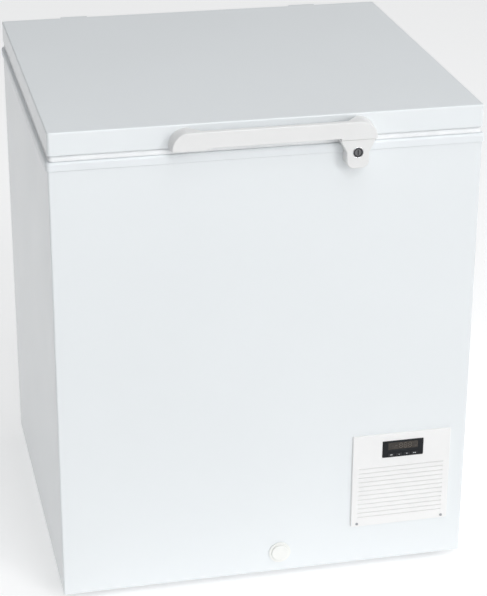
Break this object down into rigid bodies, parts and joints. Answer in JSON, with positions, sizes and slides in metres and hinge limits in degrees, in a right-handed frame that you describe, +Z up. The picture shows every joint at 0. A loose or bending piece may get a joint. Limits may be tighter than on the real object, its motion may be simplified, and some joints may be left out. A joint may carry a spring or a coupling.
{
  "type": "chest ultra low temperature freezer",
  "caption": "White chest freezer with a hinged insulated lid, a locking front handle, a stepped tank, a louvred machine bay with a controller, and a front drain plug.",
  "frame": {"origin": "on the floor under the middle of the cabinet", "axes": "+X to the right of someone facing the handle, +Y to the back, +Z up"},
  "size_m": [0.726, 0.708, 0.86],
  "materials": {
    "white_paint": "semi-gloss powder coat",
    "rear_sheet": "semi-gloss powder coat",
    "galvanised_sheet": "galvanised",
    "frame_plastic": "smooth moulded",
    "tank_aluminium": "stucco embossed",
    "coil_aluminium": "drawn",
    "foam": "rigid polyurethane foam",
    "drain_plastic": "moulded",
    "warm_plastic": "smooth moulded",
    "zinc_steel": "zinc plated",
    "black_plastic": "fine grain",
    "key_plastic": "soft touch",
    "smoked_window": "polished",
    "motor_steel": "satin",
    "fan_plastic": "moulded",
    "compressor_paint": "satin black",
    "mount_rubber": "matt",
    "pipe_metal": "copper",
    "liner_plastic": "vacuum formed",
    "gasket_rubber": "matt",
    "lock_metal": "dark plated",
    "hinge_steel": "zinc and lacquer",
    "spring_steel": "oiled"
  },
  "bodies": {
    "cabinet": {"cabinet_wrapper": "white_paint", "rear_panel": "rear_sheet", "base_pan": "galvanised_sheet", "machine_bay": "galvanised_sheet", "rear_vent_cover": "rear_sheet", "feet": "black_plastic", "top_frame": "frame_plastic", "tank_liner": "tank_aluminium", "evaporator_coil": "coil_aluminium", "cabinet_insulation": "foam", "drain_outlet": "drain_plastic", "front_grille": "warm_plastic", "lock_housing": "warm_plastic", "controller_case": "black_plastic", "controller_fascia": "black_plastic", "display_lens": "smoked_window", "condenser": "coil_aluminium", "fan_shroud": "galvanised_sheet", "fan_motor": "motor_steel", "compressor": "compressor_paint", "compressor_base": "compressor_paint", "compressor_grommets": "mount_rubber", "terminal_box": "black_plastic", "discharge_pipe": "pipe_metal", "suction_pipe": "pipe_metal", "liquid_line": "pipe_metal", "cord_gland": "black_plastic", "temperature_probe": "zinc_steel", "hinge_bracket_left": "hinge_steel", "hinge_bracket_right": "hinge_steel", "hinge_pins": "zinc_steel", "hinge_springs": "spring_steel"},
    "lid": {"lid_skin": "white_paint", "lid_liner": "liner_plastic", "lid_insulation": "foam", "lid_gasket": "gasket_rubber", "lid_handle": "warm_plastic", "lock_keeper": "zinc_steel", "hinge_leaf_left": "white_paint", "hinge_leaf_right": "white_paint"},
    "lock_cylinder": {"lock_barrel": "lock_metal", "lock_cam": "zinc_steel"},
    "fan": {"fan_impeller": "fan_plastic"},
    "plug": {"drain_plug": "drain_plastic"},
    "key_1": {"controller_key_1": "key_plastic"},
    "key_2": {"controller_key_2": "key_plastic"},
    "key_3": {"controller_key_3": "key_plastic"},
    "key_4": {"controller_key_4": "key_plastic"}
  },
  "joints": [
    {"name": "lid_hinge", "type": "hinge", "parent": "cabinet", "child": "lid", "pos_m": [0, 0.341, 0.816], "axis": [-1, 0, 0], "range_deg": [0, 85]},
    {"name": "lock_turn", "type": "hinge", "parent": "cabinet", "child": "lock_cylinder", "pos_m": [0.1395, -0.353, 0.8012], "axis": [0, 1, 0], "range_deg": [0, 90]},
    {"name": "fan_spin", "type": "hinge", "parent": "cabinet", "child": "fan", "pos_m": [0.2536, -0.2498, 0.0993], "axis": [0, 1, 0], "continuous": true},
    {"name": "drain_plug_pull", "type": "slide", "parent": "cabinet", "child": "plug", "axis": [0, -1, 0], "range_m": [0, 0.03]},
    {"name": "key_1_press", "type": "slide", "parent": "cabinet", "child": "key_1", "axis": [0, 1, 0], "range_m": [0, 0.0006], "stiffness_N_per_m": 300},
    {"name": "key_2_press", "type": "slide", "parent": "cabinet", "child": "key_2", "axis": [0, 1, 0], "range_m": [0, 0.0006], "stiffness_N_per_m": 300},
    {"name": "key_3_press", "type": "slide", "parent": "cabinet", "child": "key_3", "axis": [0, 1, 0], "range_m": [0, 0.0006], "stiffness_N_per_m": 300},
    {"name": "key_4_press", "type": "slide", "parent": "cabinet", "child": "key_4", "axis": [0, 1, 0], "range_m": [0, 0.0006], "stiffness_N_per_m": 300}
  ]
}
